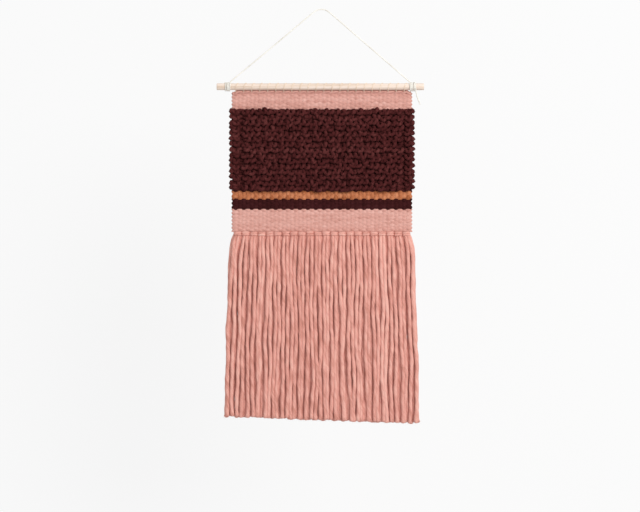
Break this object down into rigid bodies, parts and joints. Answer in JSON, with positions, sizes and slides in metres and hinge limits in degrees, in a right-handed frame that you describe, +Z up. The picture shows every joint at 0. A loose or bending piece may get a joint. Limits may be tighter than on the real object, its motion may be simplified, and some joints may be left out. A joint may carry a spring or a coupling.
{
  "type": "tapestry wall hanging",
  "caption": "Woven panel on a wooden dowel with a cotton hanging cord: pink bands, a looped burgundy pile band, rust and burgundy stripes, rya knots and a long pink fringe.",
  "frame": {"origin": "the underside of the hanging cord at its highest point, where a hook carries the piece", "axes": "+X to the viewer's right along the dowel, +Y back towards the wall, +Z up; the front faces -Y"},
  "size_m": [0.305, 0.0171, 0.6091],
  "materials": {
    "dowel_wood": "pale, sanded, unvarnished",
    "cotton_cord": "white twisted cotton",
    "cotton_warp": "cream cotton thread",
    "pink_wool": "soft bulky single-ply wool, matte with a slight halo",
    "burgundy_wool": "matte wool",
    "rust_wool": "matte wool"
  },
  "bodies": {
    "hanger": {"dowel": "dowel_wood", "hanging_cord": "cotton_cord", "cord_knot_left": "cotton_cord", "cord_knot_right": "cotton_cord"},
    "panel": {"warp_thread": "cotton_warp", "weft_top_pink": "pink_wool", "weft_pile_ground": "burgundy_wool", "weft_rust_stripe": "rust_wool", "weft_burgundy_stripe": "burgundy_wool", "weft_lower_pink": "pink_wool", "pile_row_01": "burgundy_wool", "pile_row_02": "burgundy_wool", "pile_row_03": "burgundy_wool", "pile_row_04": "burgundy_wool", "pile_row_05": "burgundy_wool", "pile_row_06": "burgundy_wool", "pile_row_07": "burgundy_wool", "pile_row_08": "burgundy_wool", "pile_row_09": "burgundy_wool", "pile_row_10": "burgundy_wool", "pile_row_11": "burgundy_wool", "pile_row_12": "burgundy_wool", "pile_row_13": "burgundy_wool", "pile_row_14": "burgundy_wool", "pile_row_15": "burgundy_wool", "rya_knot_row": "pink_wool"},
    "tassel_01": {"tassel_01": "pink_wool"},
    "tassel_02": {"tassel_02": "pink_wool"},
    "tassel_03": {"tassel_03": "pink_wool"},
    "tassel_04": {"tassel_04": "pink_wool"},
    "tassel_05": {"tassel_05": "pink_wool"},
    "tassel_06": {"tassel_06": "pink_wool"},
    "tassel_07": {"tassel_07": "pink_wool"},
    "tassel_08": {"tassel_08": "pink_wool"},
    "tassel_09": {"tassel_09": "pink_wool"},
    "tassel_10": {"tassel_10": "pink_wool"},
    "tassel_11": {"tassel_11": "pink_wool"},
    "tassel_12": {"tassel_12": "pink_wool"},
    "tassel_13": {"tassel_13": "pink_wool"},
    "tassel_14": {"tassel_14": "pink_wool"},
    "tassel_15": {"tassel_15": "pink_wool"},
    "tassel_16": {"tassel_16": "pink_wool"},
    "tassel_17": {"tassel_17": "pink_wool"},
    "tassel_18": {"tassel_18": "pink_wool"},
    "tassel_19": {"tassel_19": "pink_wool"},
    "tassel_20": {"tassel_20": "pink_wool"},
    "tassel_21": {"tassel_21": "pink_wool"},
    "tassel_22": {"tassel_22": "pink_wool"}
  },
  "joints": [
    {"name": "panel_swing", "type": "hinge", "parent": "hanger", "child": "panel", "pos_m": [0.0006, 0, -0.1129], "axis": [-1, 0, 0], "range_deg": [-90, 90]},
    {"name": "tassel_01_swing", "type": "hinge", "parent": "panel", "child": "tassel_01", "pos_m": [-0.1233, 0.0007, -0.3397], "axis": [-1, 0, 0], "range_deg": [-90, 90]},
    {"name": "tassel_02_swing", "type": "hinge", "parent": "panel", "child": "tassel_02", "pos_m": [-0.1115, 0.0007, -0.3397], "axis": [-1, 0, 0], "range_deg": [-90, 90]},
    {"name": "tassel_03_swing", "type": "hinge", "parent": "panel", "child": "tassel_03", "pos_m": [-0.0997, 0.0007, -0.3397], "axis": [-1, 0, 0], "range_deg": [-90, 90]},
    {"name": "tassel_04_swing", "type": "hinge", "parent": "panel", "child": "tassel_04", "pos_m": [-0.0879, 0.0007, -0.3397], "axis": [-1, 0, 0], "range_deg": [-90, 90]},
    {"name": "tassel_05_swing", "type": "hinge", "parent": "panel", "child": "tassel_05", "pos_m": [-0.0761, 0.0007, -0.3397], "axis": [-1, 0, 0], "range_deg": [-90, 90]},
    {"name": "tassel_06_swing", "type": "hinge", "parent": "panel", "child": "tassel_06", "pos_m": [-0.0643, 0.0007, -0.3397], "axis": [-1, 0, 0], "range_deg": [-90, 90]},
    {"name": "tassel_07_swing", "type": "hinge", "parent": "panel", "child": "tassel_07", "pos_m": [-0.0525, 0.0007, -0.3397], "axis": [-1, 0, 0], "range_deg": [-90, 90]},
    {"name": "tassel_08_swing", "type": "hinge", "parent": "panel", "child": "tassel_08", "pos_m": [-0.0407, 0.0007, -0.3397], "axis": [-1, 0, 0], "range_deg": [-90, 90]},
    {"name": "tassel_09_swing", "type": "hinge", "parent": "panel", "child": "tassel_09", "pos_m": [-0.0289, 0.0007, -0.3397], "axis": [-1, 0, 0], "range_deg": [-90, 90]},
    {"name": "tassel_10_swing", "type": "hinge", "parent": "panel", "child": "tassel_10", "pos_m": [-0.0171, 0.0007, -0.3397], "axis": [-1, 0, 0], "range_deg": [-90, 90]},
    {"name": "tassel_11_swing", "type": "hinge", "parent": "panel", "child": "tassel_11", "pos_m": [-0.0053, 0.0007, -0.3397], "axis": [-1, 0, 0], "range_deg": [-90, 90]},
    {"name": "tassel_12_swing", "type": "hinge", "parent": "panel", "child": "tassel_12", "pos_m": [0.0065, 0.0007, -0.3397], "axis": [-1, 0, 0], "range_deg": [-90, 90]},
    {"name": "tassel_13_swing", "type": "hinge", "parent": "panel", "child": "tassel_13", "pos_m": [0.0183, 0.0007, -0.3397], "axis": [-1, 0, 0], "range_deg": [-90, 90]},
    {"name": "tassel_14_swing", "type": "hinge", "parent": "panel", "child": "tassel_14", "pos_m": [0.0301, 0.0007, -0.3397], "axis": [-1, 0, 0], "range_deg": [-90, 90]},
    {"name": "tassel_15_swing", "type": "hinge", "parent": "panel", "child": "tassel_15", "pos_m": [0.0419, 0.0007, -0.3397], "axis": [-1, 0, 0], "range_deg": [-90, 90]},
    {"name": "tassel_16_swing", "type": "hinge", "parent": "panel", "child": "tassel_16", "pos_m": [0.0537, 0.0007, -0.3397], "axis": [-1, 0, 0], "range_deg": [-90, 90]},
    {"name": "tassel_17_swing", "type": "hinge", "parent": "panel", "child": "tassel_17", "pos_m": [0.0655, 0.0007, -0.3397], "axis": [-1, 0, 0], "range_deg": [-90, 90]},
    {"name": "tassel_18_swing", "type": "hinge", "parent": "panel", "child": "tassel_18", "pos_m": [0.0773, 0.0007, -0.3397], "axis": [-1, 0, 0], "range_deg": [-90, 90]},
    {"name": "tassel_19_swing", "type": "hinge", "parent": "panel", "child": "tassel_19", "pos_m": [0.0891, 0.0007, -0.3397], "axis": [-1, 0, 0], "range_deg": [-90, 90]},
    {"name": "tassel_20_swing", "type": "hinge", "parent": "panel", "child": "tassel_20", "pos_m": [0.1009, 0.0007, -0.3397], "axis": [-1, 0, 0], "range_deg": [-90, 90]},
    {"name": "tassel_21_swing", "type": "hinge", "parent": "panel", "child": "tassel_21", "pos_m": [0.1127, 0.0007, -0.3397], "axis": [-1, 0, 0], "range_deg": [-90, 90]},
    {"name": "tassel_22_swing", "type": "hinge", "parent": "panel", "child": "tassel_22", "pos_m": [0.1245, 0.0007, -0.3397], "axis": [-1, 0, 0], "range_deg": [-90, 90]}
  ]
}
